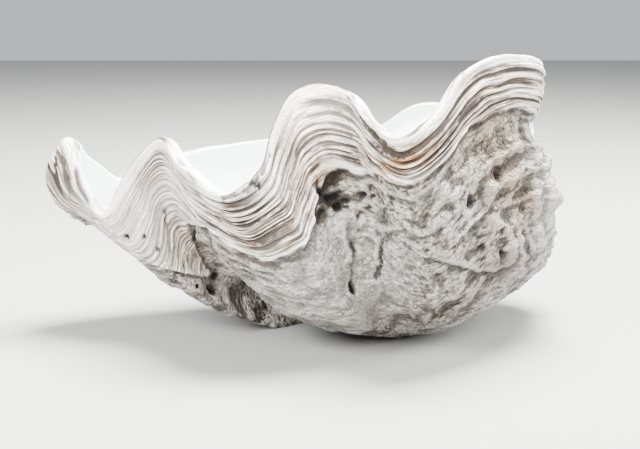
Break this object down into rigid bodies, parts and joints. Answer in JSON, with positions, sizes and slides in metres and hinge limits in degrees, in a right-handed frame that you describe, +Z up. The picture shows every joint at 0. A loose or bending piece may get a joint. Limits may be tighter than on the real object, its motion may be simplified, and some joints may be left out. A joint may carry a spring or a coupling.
{
  "type": "giant clam valve",
  "caption": "One valve of a giant clam: a deep bowl of thick shell with broad wavy ribs, a scalloped growing edge and an arched hinge, lying hollow side up.",
  "frame": {"origin": "centre of the bounding box in plan, on the plane the valve rests on", "axes": "+X along the longest side towards the hinge end, -Y the wavy growing edge, +Z up out of the hollow"},
  "size_m": [0.3518, 0.237, 0.1894],
  "materials": {
    "shell": "matt chalky shell with lamellae, smoother and paler inside"
  },
  "bodies": {
    "root": {"valve": "shell"}
  },
  "joints": []
}
